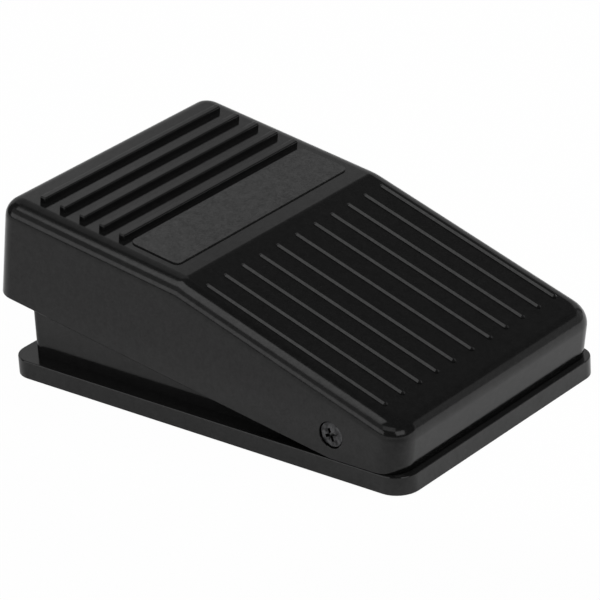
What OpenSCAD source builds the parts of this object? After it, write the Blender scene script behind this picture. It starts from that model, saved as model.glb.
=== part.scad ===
// Foot pedal switch: a hollow pedal hood that rocks on two screws over a low base,
// presses a small switch near its pivot and is lifted again by a coil spring.
// Millimetres. X is the width, +Y is the raised rear, +Z is up, and the feet stand on Z = 0.

/* [Base] */
// Length of the base flange
base_l = 105.3; // [100:0.1:112]
// Width of the base flange
base_w = 68; // [62:0.5:76]
// Thickness of the flange
flange_t = 4.1; // [3.4:0.1:5]
// Radius of the flange corners in plan
flange_r = 5.1; // [3:0.1:9]
// Thickness of the floor inside the walls
floor_t = 2; // [1.8:0.1:2.6]
// Thickness of the upright walls
wall_t = 2.2; // [1.6:0.1:2.6]
// Radius of the upright wall corners in plan
wall_r = 1.6; // [1:0.1:2.4]
// From the flange edge in to the rear wall
wall_rear_inset = 4.15; // [3.8:0.05:5]
// From the flange edge in to the front wall
wall_front_inset = 7.4; // [7:0.1:9]
// Height of the walls above the flange at the rear
wall_h = 14.8; // [13:0.1:16]
// Height of the walls above the flange at the front
wall_front_h = 7.6; // [6:0.1:8.5]
// How far in front of the crest the wall tops start to fall
wall_slope_off = 4.4; // [0:0.2:8]

/* [Feet] */
// Diameter of a rubber foot
foot_d = 11; // [8:0.5:12]
// Depth of a foot in its pocket
foot_sunk = 1; // [0.6:0.1:1.2]
// How far a foot stands proud of the underside
foot_proud = 0.5; // [0.3:0.1:1]
// From the flange edges in to a foot's centre
foot_inset = 9; // [7.5:0.5:12]

/* [Pedal hood] */
// From the flange's side edge in to the hood's side wall
hood_side_inset = 0.4; // [0.2:0.05:0.6]
// From the flange's front edge in to the foot of the hood's front wall
hood_front_inset = 1.5; // [1.4:0.1:3]
// How far the hood's lower rear edge reaches past the flange
hood_rear_over = 2.2; // [1.5:0.1:3]
// Height of the crest above the flange
crest_h = 29.25; // [28:0.05:31]
// From the flange's rear edge in to the crest
crest_in = 49.4; // [47:0.1:51]
// Rise of the rear top, in degrees
rear_top_a = 9; // [7:0.1:11]
// Fall of the slope in front of the crest, in degrees
slope_a = 18.6; // [17.6:0.1:19]
// Rise of the skirt's lower edge behind the pivot, and lean of the front and rear walls, in degrees
skirt_a = 9.25; // [8.9:0.05:10]
// Gap between the skirt and the flange in front of the pivot
skirt_gap = 0.06; // [0.04:0.01:0.5]
// Gap left between the skirt and the flange at full travel
press_clear = 0.03; // [0.02:0.01:0.1]
// Thickness of the side walls
side_t = 2; // [1.6:0.1:2.2]
// Thickness of the top
top_t = 2.2; // [1.6:0.1:2.4]
// Thickness of the front and rear walls
end_t = 1.6; // [1.2:0.1:1.8]
// Radius of the upright rear corners in plan
corner_r = 4.1; // [3.5:0.1:5]
// Radius of the upright front corners in plan
front_corner_r = 6; // [5:0.1:7]
// Radius along the top edges
edge_r = 3.5; // [2.6:0.1:3.8]
// Radius between the slope and the front wall
front_r = 3.5; // [3:0.1:4.5]

/* [Tread ribs] */
// Number of cross ribs at the rear
rear_ribs = 5; // [3:1:5]
// From the hood's sides in to the ends of the cross ribs
rear_rib_side_in = 5; // [4.5:0.1:7]
// Thickness of a cross rib
rear_rib_t = 1.5; // [1:0.1:2]
// Height of a cross rib
rear_rib_h = 1.3; // [0.8:0.1:1.6]
// Spacing of the cross ribs along the top
rear_rib_pitch = 5.4; // [4:0.05:5.6]
// From the hood's lower rear edge in to the rearmost cross rib
rear_rib_in = 11.75; // [11:0.05:12.5]
// Number of long ribs on the slope
slope_ribs = 11; // [5:2:11]
// Thickness of a long rib, which is half round
slope_rib_t = 1.2; // [0.8:0.1:1.6]
// From the crest to the upper ends of the long ribs
slope_rib_start = 4; // [3:0.1:8]
// From the front face in to the lower ends of the long ribs
slope_rib_in = 5.55; // [5:0.05:8]
// From the middle long rib to its neighbours
slope_rib_first = 6.2; // [5.6:0.05:6.4]
// Spacing of the long ribs beyond those
slope_rib_pitch = 5.65; // [5.2:0.05:5.7]

/* [Label] */
// From the hood's sides in to the raised label plate
label_side_in = 5.4; // [5:0.1:10]
// Width of the label plate
label_w = 12.9; // [8:0.1:13]
// Thickness of the label plate
label_t = 0.4; // [0.2:0.05:0.6]
// Radius of the label's corners
label_r = 1.5; // [0.5:0.1:3]
// From the crest to the label
label_start = 4.4; // [4:0.1:4.8]

/* [Pivot] */
// From the flange's front edge in to the pivot
pivot_in = 17.7; // [17:0.05:19]
// Height of the pivot above the flange
pivot_h = 5.5; // [5.4:0.05:6.5]
// Diameter of the screw's shoulder
shoulder_d = 4; // [3.5:0.1:4.2]
// Running clearance around the shoulder, on the radius
run_fit = 0.05; // [0.02:0.01:0.1]
// Outside diameter of a pivot bush
bush_d = 5.6; // [5.2:0.1:6]
// Diameter of a screw head
pivot_head_d = 5.2; // [5:0.1:5.6]
// Thickness of a screw head
pivot_head_t = 1.4; // [1:0.1:1.6]
// How far a screw head lies below the hood's side
head_sunk = 0.2; // [0:0.05:0.4]
// Diameter of the counterbore around the head
counterbore_d = 5.8; // [5.8:0.1:7]
// Diameter of the hood's boss around the bush
boss_d = 9.6; // [8:0.1:9.8]
// How far the hood's boss stands in from the side wall
boss_in = 1.2; // [0.8:0.1:2]
// Diameter of the ears inside the base's walls at the pivot
ear_d = 9; // [8:0.1:10]
// Side clearance between the hood's bosses and the base's walls
side_gap = 0.3; // [0.2:0.05:0.5]
// Diameter of the screw's thread
thread_d = 3; // [2.5:0.1:3]
// Outside diameter of a threaded insert
insert_d = 4.6; // [4.2:0.1:5]
// Length of a threaded insert
insert_l = 5; // [3:0.1:5.2]
// Clearance around screws in their holes, on the radius
screw_fit = 0.05; // [0.02:0.01:0.1]
// Full travel of the pedal, in degrees
press_a = 8.8; // [7:0.1:8.8]

/* [Return spring] */
// From the flange's rear edge in to the spring
spring_in = 29; // [28:0.5:29.5]
// Height of the spring's upper seat above the flange
spring_top_h = 19.4; // [18.6:0.1:20.5]
// Mean diameter of the spring
spring_d = 14; // [12:0.2:15]
// Diameter of the wire
wire_d = 1.4; // [1:0.1:1.6]
// Number of turns
spring_turns = 5; // [4:0.5:6]
// Gap left at each end of the spring
spring_end_gap = 0.05; // [0.02:0.01:0.2]
// Rise of an end turn, in wire diameters
end_turn_rise = 1.12; // [1.05:0.01:1.3]
// Diameter of the spring's seats
seat_d = 18; // [17:0.2:20]
// Thickness of the spring's seats
seat_t = 1; // [0.8:0.1:1.4]
// Diameter of the spigots that centre the spring
spigot_d = 10; // [7:0.2:10.4]
// Length of the spigots
spigot_l = 3; // [1.5:0.1:3.4]
// Diameter of the hood's spring post
spring_post_d = 12; // [9:0.5:15]

/* [Ballast] */
// Gap between the steel ballast plate and the side walls
ballast_side_gap = 5.9; // [5:0.1:9]
// Width of the ballast plate along the base
ballast_l = 24; // [20:0.5:25]
// Thickness of the ballast plate
ballast_t = 1.5; // [1:0.1:2]
// Clearance around posts in the ballast plate
ballast_fit = 0.3; // [0.2:0.05:0.5]
// Diameter of a ballast post
ballast_post_d = 5; // [4.5:0.1:6]
// From the plate's ends in to its screws
ballast_screw_in = 5; // [4:0.5:7]
// Radius of the plate's corners
ballast_r = 2; // [0.5:0.1:3]

/* [Circuit board] */
// Gap between the circuit board and the side walls
board_side_gap = 5.9; // [5:0.1:6.5]
// Length of the circuit board
board_l = 34; // [32:0.5:35]
// Thickness of the circuit board
board_t = 1.6; // [1:0.1:2]
// Gap between the board and the front wall
board_front_gap = 5.4; // [5:0.1:6.4]
// Height of the board posts above the floor
board_post_h = 2; // [1.6:0.1:2.6]
// Diameter of the board posts
board_post_d = 5; // [4.5:0.1:6]
// From the board's edges in to its screws
board_screw_in = 3.2; // [3:0.1:4]
// Radius of the board's corners
board_r = 1.5; // [0.5:0.1:2.5]

/* [Small screws] */
// Diameter of a small screw's shank
small_d = 2.2; // [1.8:0.1:2.5]
// Diameter of a small screw's head
small_head_d = 4.2; // [3.8:0.1:4.6]
// Thickness of a small screw's head
small_head_t = 1.4; // [1:0.1:1.8]
// How far a small screw reaches into its post
small_grip = 3; // [2:0.1:3.2]
// Width across a screw's cross recess
recess_w = 2.4; // [1.6:0.1:2.6]
// Width of one arm of the recess
recess_t = 0.6; // [0.4:0.1:0.8]
// Depth of the recess
recess_depth = 0.7; // [0.4:0.1:0.8]

/* [Switch] */
// Length of the switch body across the base
switch_w = 12.8; // [11:0.1:14]
// Width of the switch body
switch_l = 5.8; // [5:0.1:7]
// Height of the switch body
switch_h = 6.5; // [6:0.1:7]
// How far behind the pivot the plunger stands
switch_off = 9.85; // [8:0.05:10.5]
// Diameter of the plunger
plunger_d = 2.4; // [1.8:0.1:3]
// Length of the plunger
plunger_l = 5.2; // [4.4:0.1:5.4]
// How far the plunger stands out of the body
plunger_out = 1.9; // [1.8:0.05:2.4]
// Diameter of the plunger's tip
tip_d = 1; // [0.6:0.1:1.4]
// Height of the cone below the tip
tip_h = 0.5; // [0.3:0.1:0.8]
// Gap between the plunger and the pad that presses it
press_gap = 0.1; // [0.05:0.05:0.3]
// Diameter of the actuator pad and its post
pad_d = 6; // [4:0.2:7]
// Thickness of the actuator pad
pad_t = 1.5; // [1:0.1:2]
// Width of a switch terminal
terminal_w = 1; // [0.8:0.1:1.4]
// Thickness of a switch terminal
terminal_t = 0.4; // [0.3:0.05:0.6]
// Spacing of the switch terminals
terminal_pitch = 5.08; // [4:0.02:5.4]
// How far the terminals reach below the board
terminal_below = 0.8; // [0.4:0.1:1.2]
// Clearance around terminals and pins in the board
pin_fit = 0.15; // [0.1:0.05:0.3]

/* [Board parts] */
// Length of the controller chip
chip_l = 10; // [8:0.1:12]
// Width of the controller chip's body
chip_w = 4; // [3.5:0.1:5]
// Height of the controller chip
chip_h = 1.6; // [1.2:0.1:2]
// Number of chip legs on one side
chip_legs = 8; // [4:1:8]
// Spacing of the chip legs
leg_pitch = 1.27; // [1:0.01:1.27]
// Width of a chip leg
leg_w = 0.4; // [0.3:0.05:0.6]
// How far a chip leg reaches out
leg_out = 1; // [0.6:0.1:1.4]
// Thickness of a chip leg
leg_t = 0.3; // [0.2:0.05:0.5]
// From the middle of the board back to the chip
chip_off = 2; // [0:0.5:3]
// From the board's right edge in to the crystal can
can_in = 1.2; // [0.5:0.1:4]
// Length of the crystal can
can_l = 10; // [8:0.1:11]
// Width of the crystal can
can_w = 4.4; // [3.6:0.1:5]
// Height of the crystal can
can_h = 3.5; // [2.5:0.1:4]
// Length of the cord header
header_w = 12.4; // [11.4:0.1:14]
// Width of the cord header
header_l = 5.8; // [5:0.1:7]
// Height of the cord header
header_h = 6; // [5:0.1:7]
// Wall of the cord header
header_wall = 0.9; // [0.7:0.1:1.2]
// Number of header pins
header_pins_n = 5; // [3:1:5]
// Spacing of the header pins
header_pitch = 2; // [1.6:0.1:2]
// Thickness of a header pin
header_pin_t = 0.6; // [0.5:0.05:0.7]
// From the board's rear edge in to the header
header_in = 1; // [0.5:0.1:1.5]
// Number of small parts beside the chip
small_parts = 4; // [2:1:4]
// Width of a small part
small_part_w = 1.2; // [0.8:0.1:1.4]
// Length of a small part
small_part_l = 2; // [1.4:0.1:2.4]
// Height of a small part
small_part_h = 0.8; // [0.4:0.1:1]
// Spacing of the small parts
small_part_pitch = 2.4; // [1.8:0.1:2.6]
// From the chip's left end to the nearest small part
small_part_in = 2.6; // [0.6:0.1:3]

/* [Cord inlet] */
// Bore of the cord grommet
cord_bore_d = 3.8; // [3:0.1:4.4]
// Outside diameter of the grommet in the wall
grommet_d = 6.4; // [5.6:0.1:7]
// Diameter of the grommet's two flanges
grommet_flange_d = 8.4; // [7.6:0.1:8.6]
// Thickness of a grommet flange
grommet_flange_t = 1.2; // [0.8:0.1:1.4]
// Clearance of the grommet in the wall, on the radius
grommet_fit = 0.05; // [0.02:0.01:0.15]
// Height of the cord inlet above the flange
inlet_h = 4.7; // [4.5:0.1:5.2]
// Width of the notch in the hood over the inlet
notch_w = 12; // [10:0.5:16]
// Height of the notch in the hood
notch_h = 9.8; // [9.4:0.1:11]
// Width of the cord clamp
clamp_w = 16; // [15:0.5:20]
// Length of the cord clamp along the cord
clamp_l = 5; // [4:0.1:5.4]
// Thickness of the cord clamp
clamp_t = 1.8; // [1.4:0.1:2.4]
// From the rear wall to the middle of the clamp
clamp_off = 5; // [4.6:0.1:5.6]
// Spacing of the clamp screws
clamp_pitch = 10.6; // [9:0.1:12]
// Diameter of the clamp posts
clamp_post_d = 4.6; // [4.2:0.1:5]
// Radius of the clamp's corners
clamp_r = 1; // [0.3:0.1:2]

/* [Bump stops] */
// Diameter of a rubber bump stop
bump_d = 7; // [5:0.5:9]
// Height of a bump stop
bump_t = 3; // [2:0.1:4]
// Height of the bump stop's post above the floor
bump_post_h = 4; // [3:0.1:5]
// From the side walls in to the middle of a bump stop
bump_side_in = 11.9; // [10.4:0.1:13.4]
// From the flange's rear edge in to the bump stops
bump_in = 12.5; // [11.5:0.1:12.7]
// Diameter of the hood's stop posts
stop_post_d = 6; // [4:0.5:8]
// Gap left above a bump stop at full travel
stop_gap = 0.15; // [0.1:0.05:0.4]

/* [Hidden] */

black = [0.07, 0.07, 0.075];
soft_black = [0.11, 0.11, 0.115];
steel = [0.62, 0.63, 0.65];
dark_steel = [0.16, 0.16, 0.17];
brass = [0.78, 0.62, 0.3];
board_green = [0.08, 0.3, 0.17];
nylon = [0.85, 0.85, 0.82];

smooth = 48;
corner_steps = 8;
// Overlap of pieces that are joined into one, and overrun of cuts
join = 0.4;

// Front and rear edges of the flange, placed so that the whole pedal is centred on Y = 0
front_y = -(base_l + hood_rear_over) / 2;
rear_y = front_y + base_l;

// Heights of the main levels
under_z = foot_proud;
flange_z = under_z + flange_t;
floor_z = under_z + floor_t;
wall_z = flange_z + wall_h;
wall_front_z = flange_z + wall_front_h;
pivot_z = flange_z + pivot_h;
crest_z = flange_z + crest_h;
inlet_z = flange_z + inlet_h;
board_z = floor_z + board_post_h;
board_top = board_z + board_t;

// Faces along the pivot, measured out from the middle
hood_x = base_w / 2 - hood_side_inset;
boss_face_x = hood_x - side_t - boss_in;
head_face_x = hood_x - head_sunk;
head_seat_x = head_face_x - pivot_head_t;
bush_face_x = head_seat_x - run_fit;

// Faces of the upright walls
wall_x = boss_face_x - side_gap;
cavity_x = wall_x - wall_t;
wall_rear_y = rear_y - wall_rear_inset;
wall_front_y = front_y + wall_front_inset;

// Lower edge of the skirt
skirt_z = flange_z + skirt_gap;
pivot_y = front_y + pivot_in;
kink_y = pivot_y + (pivot_h * (1 - cos(press_a)) + skirt_gap * cos(press_a) - press_clear) / sin(press_a);
hood_front_y = front_y + hood_front_inset;
hood_rear_y = rear_y + hood_rear_over;
crest_y = rear_y - crest_in;
skirt_rear_z = skirt_z + (hood_rear_y - kink_y) * tan(skirt_a);

// The hood's planes in the YZ view, as outward normals and their distances
rear_n = [cos(skirt_a), sin(skirt_a)];
rear_c = rear_n * [hood_rear_y, skirt_rear_z];
top_n = [-sin(rear_top_a), cos(rear_top_a)];
top_c = top_n * [crest_y, crest_z];
slope_n = [-sin(slope_a), cos(slope_a)];
slope_c = slope_n * [crest_y, crest_z];
front_n = [-cos(skirt_a), -sin(skirt_a)];
front_c = front_n * [hood_front_y, skirt_z];

// Places of the pieces inside
spring_y = rear_y - spring_in;
bump_x = cavity_x - bump_side_in;
bump_y = rear_y - bump_in;
ballast_w = 2 * (cavity_x - ballast_side_gap);
board_w = 2 * (cavity_x - board_side_gap);
board_y = wall_front_y + wall_t + board_front_gap + board_l / 2;
switch_y = pivot_y + switch_off;
plunger_top = board_top + switch_h + plunger_out;
pad_z = plunger_top + press_gap;
seat_z = floor_z + ballast_t;
spring_low_z = seat_z + seat_t;
spring_top_z = flange_z + spring_top_h;
bump_top = floor_z + bump_post_h + bump_t;
clamp_y = wall_rear_y - wall_t - clamp_off;
clamp_z = inlet_z + cord_bore_d / 2 - clamp_t / 2;

// Drop of a point behind the pivot at full travel, and the height that meets a stop there
function drop(y, z) = (y - pivot_y) * sin(press_a) + (z - pivot_z) * (1 - cos(press_a));
plunger_travel = drop(switch_y, pad_z) + tip_d / 2 * sin(press_a);
stop_z = pivot_z + (bump_top + stop_gap - pivot_z + (bump_y - pivot_y) * sin(press_a)) / cos(press_a)
         + stop_post_d / 2 * tan(press_a);

// Where two lines cross, each given by its normal and its distance
function crossing(n1, c1, n2, c2) =
    let (d = n1[0] * n2[1] - n1[1] * n2[0])
    [(c1 * n2[1] - c2 * n1[1]) / d, (n1[0] * c2 - n2[0] * c1) / d];

// Points along an arc, and of a rectangle with rounded corners
function arc(centre, r, from, to) =
    [for (i = [0:corner_steps])
        let (a = from + (to - from) * i / corner_steps)
        centre + r * [cos(a), sin(a)]];
function rounded_rect(x0, x1, y0, y1, r) = concat(
    arc([x1 - r, y1 - r], r, 0, 90), arc([x0 + r, y1 - r], r, 90, 180),
    arc([x0 + r, y0 + r], r, 180, 270), arc([x1 - r, y0 + r], r, 270, 360));

module rounded_block(x0, x1, y0, y1, r, z0, z1) {
    translate([0, 0, z0]) linear_extrude(z1 - z0) polygon(rounded_rect(x0, x1, y0, y1, r));
}

// An outline drawn in the YZ view, made solid across the width
module across(half_width) {
    translate([-half_width, 0, 0]) rotate([90, 0, 90]) linear_extrude(2 * half_width) children();
}

// A round bar along X between two places
module bar_x(x0, x1, d) {
    translate([x0, pivot_y, pivot_z]) rotate([0, 90, 0]) cylinder(h = x1 - x0, d = d, $fn = smooth);
}

// The same piece on the right and on the left
module both_sides() {
    children();
    mirror([1, 0, 0]) children();
}

// A cross recess cut into a screw head whose face is at Z = 0
module cross_recess(width, thick, deep) {
    for (turn = [0, 90])
        rotate(turn) translate([-width / 2, -thick / 2, -deep]) cube([width, thick, deep + join]);
}

// A pan-headed screw standing on Z = 0 with its shank below
module small_screw(grip) {
    difference() {
        union() {
            cylinder(h = small_head_t, d = small_head_d, $fn = smooth);
            translate([0, 0, -grip]) cylinder(h = grip, d = small_d, $fn = smooth);
        }
        translate([0, 0, small_head_t]) cross_recess(recess_w, recess_t, recess_depth);
    }
}

// A post standing on the floor, and the blind screw hole in its top
module floor_post(x, y, height, d) {
    translate([x, y, floor_z - join]) cylinder(h = height + join, d = d, $fn = smooth);
}
module post_hole(x, y, height, hole_depth) {
    translate([x, y, floor_z + height - hole_depth])
        cylinder(h = hole_depth + join, d = small_d + 2 * screw_fit, $fn = smooth);
}

board_screw_x = board_w / 2 - board_screw_in;
board_screw_dy = board_l / 2 - board_screw_in;
board_screw_places = [for (x = [-board_screw_x, board_screw_x], dy = [-board_screw_dy, board_screw_dy])
                      [x, board_y + dy]];
ballast_screw_places = [for (x = [-1, 1]) [x * (ballast_w / 2 - ballast_screw_in), spring_y]];
clamp_screw_places = [for (x = [-1, 1]) [x * clamp_pitch / 2, clamp_y]];
bump_places = [for (x = [-bump_x, bump_x]) [x, bump_y]];
foot_places = [for (x = [-1, 1], y = [front_y + foot_inset, rear_y - foot_inset])
               [x * (base_w / 2 - foot_inset), y]];

module base_tray() {
    color(black) difference() {
        union() {
            rounded_block(-base_w / 2, base_w / 2, front_y, rear_y, flange_r, under_z, flange_z);
            intersection() {
                rounded_block(-wall_x, wall_x, wall_front_y, wall_rear_y, wall_r, under_z, wall_z);
                across(base_w) polygon([[wall_front_y - join, under_z], [wall_rear_y + join, under_z],
                                        [wall_rear_y + join, wall_z], [crest_y - wall_slope_off, wall_z],
                                        [wall_front_y - join, wall_front_z]]);
            }
        }
        difference() {
            rounded_block(-cavity_x, cavity_x, wall_front_y + wall_t, wall_rear_y - wall_t, wall_r / 2,
                          floor_z, wall_z + join);
            tray_posts();
        }
        for (p = foot_places)
            translate([p[0], p[1], under_z - join])
                cylinder(h = foot_sunk + join, d = foot_d + 2 * screw_fit, $fn = smooth);
        both_sides() bar_x(wall_x - insert_l - join, wall_x + join, insert_d + 2 * screw_fit);
        translate([0, wall_rear_y + join, inlet_z]) rotate([90, 0, 0])
            cylinder(h = wall_t + 2 * join, d = grommet_d + 2 * grommet_fit, $fn = smooth);
        for (p = board_screw_places) post_hole(p[0], p[1], board_post_h, small_grip);
        for (p = ballast_screw_places) post_hole(p[0], p[1], ballast_t, small_grip);
        for (p = clamp_screw_places) post_hole(p[0], p[1], clamp_z - floor_z, small_grip);
    }
}

// Posts that stand on the tray's floor, and the ears inside its walls
module tray_posts() {
    both_sides() bar_x(wall_x - insert_l, wall_x, ear_d);
    for (p = board_screw_places) floor_post(p[0], p[1], board_post_h, board_post_d);
    for (p = ballast_screw_places) floor_post(p[0], p[1], ballast_t, ballast_post_d);
    for (p = clamp_screw_places) floor_post(p[0], p[1], clamp_z - floor_z, clamp_post_d);
    for (p = bump_places) floor_post(p[0], p[1], bump_post_h, bump_d);
}

module rubber_feet() {
    color(soft_black) for (p = foot_places)
        translate([p[0], p[1], 0]) cylinder(h = foot_sunk + foot_proud, d = foot_d, $fn = smooth);
}

module ballast_plate() {
    color(dark_steel) difference() {
        rounded_block(-ballast_w / 2, ballast_w / 2, spring_y - ballast_l / 2, spring_y + ballast_l / 2,
                      ballast_r, floor_z, seat_z);
        for (p = ballast_screw_places)
            translate([p[0], p[1], floor_z - join])
                cylinder(h = ballast_t + 2 * join, d = ballast_post_d + 2 * ballast_fit, $fn = smooth);
    }
}

module ballast_screws() {
    color(steel) for (p = ballast_screw_places)
        translate([p[0], p[1], seat_z]) small_screw(small_grip);
}

// A square hole for a header pin
module pin_hole(height) {
    width = header_pin_t + 2 * pin_fit;
    translate([-width / 2, -width / 2, 0]) cube([width, width, height]);
}

module circuit_board() {
    color(board_green) difference() {
        rounded_block(-board_w / 2, board_w / 2, board_y - board_l / 2, board_y + board_l / 2, board_r,
                      board_z, board_top);
        for (p = board_screw_places)
            translate([p[0], p[1], board_z - join])
                cylinder(h = board_t + 2 * join, d = small_d + 2 * screw_fit, $fn = smooth);
        for (x = terminal_places)
            translate([x - terminal_w / 2 - pin_fit, switch_y - terminal_t / 2 - pin_fit, board_z - join])
                cube([terminal_w + 2 * pin_fit, terminal_t + 2 * pin_fit, board_t + 2 * join]);
        for (x = header_pin_places)
            translate([x, header_y, board_z - join]) pin_hole(board_t + 2 * join);
    }
}

module board_screws() {
    color(steel) for (p = board_screw_places)
        translate([p[0], p[1], board_top]) small_screw(small_grip + board_t);
}

// Places on the board
terminal_places = [for (i = [-1:1]) i * terminal_pitch];
header_y = board_y + board_l / 2 - header_l / 2 - header_in;
header_pin_places = [for (i = [0:header_pins_n - 1]) (i - (header_pins_n - 1) / 2) * header_pitch];
chip_y = board_y + chip_off;
small_part_x = -chip_l / 2 - small_part_in - small_part_w;

module controller_chip() {
    color(soft_black) translate([0, chip_y, board_top]) {
        translate([-chip_l / 2, -chip_w / 2, 0]) cube([chip_l, chip_w, chip_h]);
        for (i = [0:chip_legs - 1], side = [-1, 1]) {
            x = (i - (chip_legs - 1) / 2) * leg_pitch;
            translate([x - leg_w / 2, side > 0 ? chip_w / 2 - join : -chip_w / 2 - leg_out, 0])
                cube([leg_w, leg_out + join, leg_t]);
        }
    }
}

module crystal_can() {
    color(steel) translate([board_w / 2 - can_in - can_l + can_w / 2, chip_y, board_top]) {
        cylinder(h = can_h, d = can_w, $fn = smooth);
        translate([0, -can_w / 2, 0]) cube([can_l - can_w, can_w, can_h]);
        translate([can_l - can_w, 0, 0]) cylinder(h = can_h, d = can_w, $fn = smooth);
    }
}

// Small resistors and capacitors in a row beside the chip
module board_parts() {
    color(nylon) for (i = [0:small_parts - 1])
        translate([small_part_x - (small_parts - 1 - i) * small_part_pitch, chip_y - small_part_l / 2, board_top])
            cube([small_part_w, small_part_l, small_part_h]);
}

module cord_header() {
    inner_w = header_w - 2 * header_wall;
    inner_l = header_l - 2 * header_wall;
    color(nylon) difference() {
        translate([-header_w / 2, header_y - header_l / 2, board_top]) cube([header_w, header_l, header_h]);
        translate([-inner_w / 2, header_y - inner_l / 2, board_top + header_wall])
            cube([inner_w, inner_l, header_h]);
        for (x = header_pin_places)
            translate([x, header_y, board_top - join]) pin_hole(header_wall + 2 * join);
    }
}

module header_pins() {
    color(brass) for (x = header_pin_places)
        translate([x - header_pin_t / 2, header_y - header_pin_t / 2, board_z - terminal_below])
            cube([header_pin_t, header_pin_t, board_t + terminal_below + header_h - header_wall]);
}

module switch_body() {
    color(soft_black) difference() {
        translate([-switch_w / 2, switch_y - switch_l / 2, board_top]) cube([switch_w, switch_l, switch_h]);
        translate([0, switch_y, plunger_top - plunger_l - plunger_travel - press_gap])
            cylinder(h = 2 * switch_h, d = plunger_d + 2 * run_fit, $fn = smooth);
    }
}

module switch_terminals() {
    color(brass) for (x = terminal_places)
        translate([x - terminal_w / 2, switch_y - terminal_t / 2, board_z - terminal_below])
            cube([terminal_w, terminal_t, board_t + terminal_below]);
}

module switch_plunger() {
    color([0.75, 0.16, 0.12]) translate([0, switch_y, plunger_top - plunger_l]) {
        cylinder(h = plunger_l - tip_h, d = plunger_d, $fn = smooth);
        translate([0, 0, plunger_l - tip_h]) cylinder(h = tip_h, d1 = plunger_d, d2 = tip_d, $fn = smooth);
    }
}

module spring_seat() {
    color(nylon) translate([0, spring_y, seat_z]) {
        cylinder(h = seat_t, d = seat_d, $fn = smooth);
        cylinder(h = seat_t + spigot_l, d = spigot_d, $fn = smooth);
    }
}

// The spring's wire, swept along a helix whose end turns lie flat
spring_sides = 8;
rings_per_turn = 16;
spring_rings = floor(spring_turns * rings_per_turn);
coil_low_z = spring_low_z + wire_d / 2 + spring_end_gap;
coil_top_z = spring_top_z - wire_d / 2 - spring_end_gap;
end_turn = 1 / spring_turns;
end_rise = end_turn_rise * wire_d / (coil_top_z - coil_low_z);
function coil_rise(t) =
    t < end_turn ? end_rise * t / end_turn :
    t > 1 - end_turn ? 1 - end_rise * (1 - t) / end_turn :
    end_rise + (1 - 2 * end_rise) * (t - end_turn) / (1 - 2 * end_turn);
function coil_point(i, side) =
    let (t = i / spring_rings, turn = 360 * spring_turns * t, a = 360 * side / spring_sides,
         r = spring_d / 2 + wire_d / 2 * cos(a))
    [r * cos(turn), spring_y + r * sin(turn),
     coil_low_z + coil_rise(t) * (coil_top_z - coil_low_z) + wire_d / 2 * sin(a)];
coil_points = [for (i = [0:spring_rings], side = [0:spring_sides - 1]) coil_point(i, side)];
function coil_index(i, side) = i * spring_sides + side % spring_sides;
coil_faces = concat(
    [for (i = [0:spring_rings - 1], side = [0:spring_sides - 1])
        [coil_index(i, side), coil_index(i, side + 1), coil_index(i + 1, side + 1)]],
    [for (i = [0:spring_rings - 1], side = [0:spring_sides - 1])
        [coil_index(i, side), coil_index(i + 1, side + 1), coil_index(i + 1, side)]],
    [for (side = [1:spring_sides - 2]) [0, side + 1, side]],
    [for (side = [1:spring_sides - 2])
        [coil_index(spring_rings, 0), coil_index(spring_rings, side), coil_index(spring_rings, side + 1)]]);

module return_spring() {
    color(steel) polyhedron(coil_points, coil_faces);
}

module cord_grommet() {
    color(soft_black) translate([0, wall_rear_y, inlet_z]) rotate([90, 0, 0]) difference() {
        union() {
            cylinder(h = wall_t, d = grommet_d, $fn = smooth);
            for (z = [-grommet_flange_t, wall_t])
                translate([0, 0, z]) cylinder(h = grommet_flange_t, d = grommet_flange_d, $fn = smooth);
        }
        translate([0, 0, -grommet_flange_t - join])
            cylinder(h = wall_t + 2 * grommet_flange_t + 2 * join, d = cord_bore_d, $fn = smooth);
    }
}

module cord_clamp() {
    color(black) difference() {
        rounded_block(-clamp_w / 2, clamp_w / 2, clamp_y - clamp_l / 2, clamp_y + clamp_l / 2, clamp_r,
                      clamp_z, clamp_z + clamp_t);
        translate([0, clamp_y + clamp_l, inlet_z]) rotate([90, 0, 0])
            cylinder(h = 2 * clamp_l, d = cord_bore_d, $fn = smooth);
        for (p = clamp_screw_places)
            translate([p[0], p[1], clamp_z - join])
                cylinder(h = clamp_t + 2 * join, d = small_d + 2 * screw_fit, $fn = smooth);
    }
}

module clamp_screws() {
    color(steel) for (p = clamp_screw_places)
        translate([p[0], p[1], clamp_z + clamp_t]) small_screw(small_grip + clamp_t);
}

module bump_stops() {
    color(soft_black) for (p = bump_places)
        translate([p[0], p[1], floor_z + bump_post_h]) cylinder(h = bump_t, d = bump_d, $fn = smooth);
}

module pivot_inserts() {
    color(brass) both_sides() difference() {
        bar_x(wall_x - insert_l, wall_x, insert_d);
        bar_x(wall_x - insert_l - join, wall_x + join, thread_d + 2 * screw_fit);
    }
}

module pivot_screws() {
    color(dark_steel) both_sides() difference() {
        union() {
            bar_x(head_seat_x, head_face_x, pivot_head_d);
            bar_x(wall_x, head_seat_x, shoulder_d);
            bar_x(wall_x - insert_l, wall_x, thread_d);
        }
        translate([head_face_x, pivot_y, pivot_z]) rotate([0, 90, 0])
            cross_recess(recess_w * pivot_head_d / small_head_d, recess_t, recess_depth);
    }
}

module pivot_bushes() {
    color(nylon) both_sides() difference() {
        bar_x(boss_face_x, bush_face_x, bush_d);
        bar_x(boss_face_x - join, bush_face_x + join, shoulder_d + 2 * run_fit);
    }
}

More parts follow.
